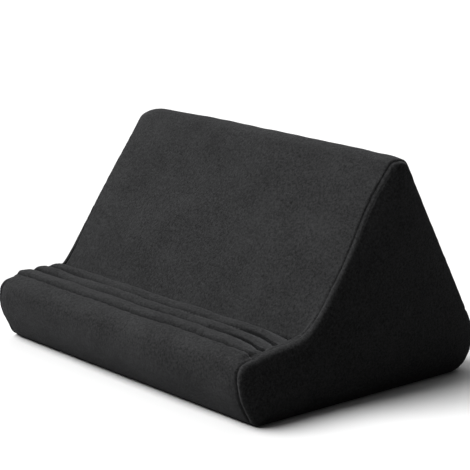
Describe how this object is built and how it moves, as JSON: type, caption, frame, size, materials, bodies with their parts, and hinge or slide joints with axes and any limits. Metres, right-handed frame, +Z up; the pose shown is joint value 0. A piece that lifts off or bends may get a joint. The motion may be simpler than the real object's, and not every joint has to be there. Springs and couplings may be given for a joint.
{
  "type": "tablet cushion stand",
  "caption": "Fabric-covered foam wedge that props up a tablet, with a soft front lip, a sewn ribbed ledge, a sloped backrest, rolled side panels and a zip across the back.",
  "frame": {"origin": "on the floor under the middle of the part's box", "axes": "+X along the width to the right as seen from the front, +Y to the back, +Z up"},
  "size_m": [0.2846, 0.218, 0.1591],
  "materials": {
    "cover_cloth": "matte",
    "side_cloth": "matte",
    "foam": "matte",
    "filling": "matte",
    "lining": "matte",
    "zip_tape": "matte",
    "zip_nylon": "satin",
    "zip_metal": "satin"
  },
  "bodies": {
    "cushion": {"foam_wedge": "foam", "foam_ledge": "foam", "ledge_backing": "lining", "rib_roll_front": "filling", "rib_roll_middle": "filling", "rib_roll_rear": "filling", "front_panel": "cover_cloth", "ledge_panel": "cover_cloth", "backrest_panel": "cover_cloth", "back_panel_upper": "cover_cloth", "back_panel_lower": "cover_cloth", "base_panel": "cover_cloth", "side_panel_left": "side_cloth", "side_panel_right": "side_cloth", "zip_tape_upper": "zip_tape", "zip_tape_lower": "zip_tape", "zip_teeth_upper": "zip_nylon", "zip_teeth_lower": "zip_nylon", "zip_stop_closed_upper": "zip_metal", "zip_stop_closed_lower": "zip_metal", "zip_stop_open": "zip_metal"},
    "slider": {"zip_slider": "zip_metal"},
    "pull": {"zip_pull": "zip_metal"}
  },
  "joints": [
    {"name": "zip_slide", "type": "slide", "parent": "cushion", "child": "slider", "axis": [-1, 0, 0], "range_m": [0, 0.225]},
    {"name": "pull_swing", "type": "hinge", "parent": "slider", "child": "pull", "pos_m": [0.1142, 0.10051, 0.05129], "axis": [0, 0.4787, -0.878], "range_deg": [0, 165]}
  ]
}
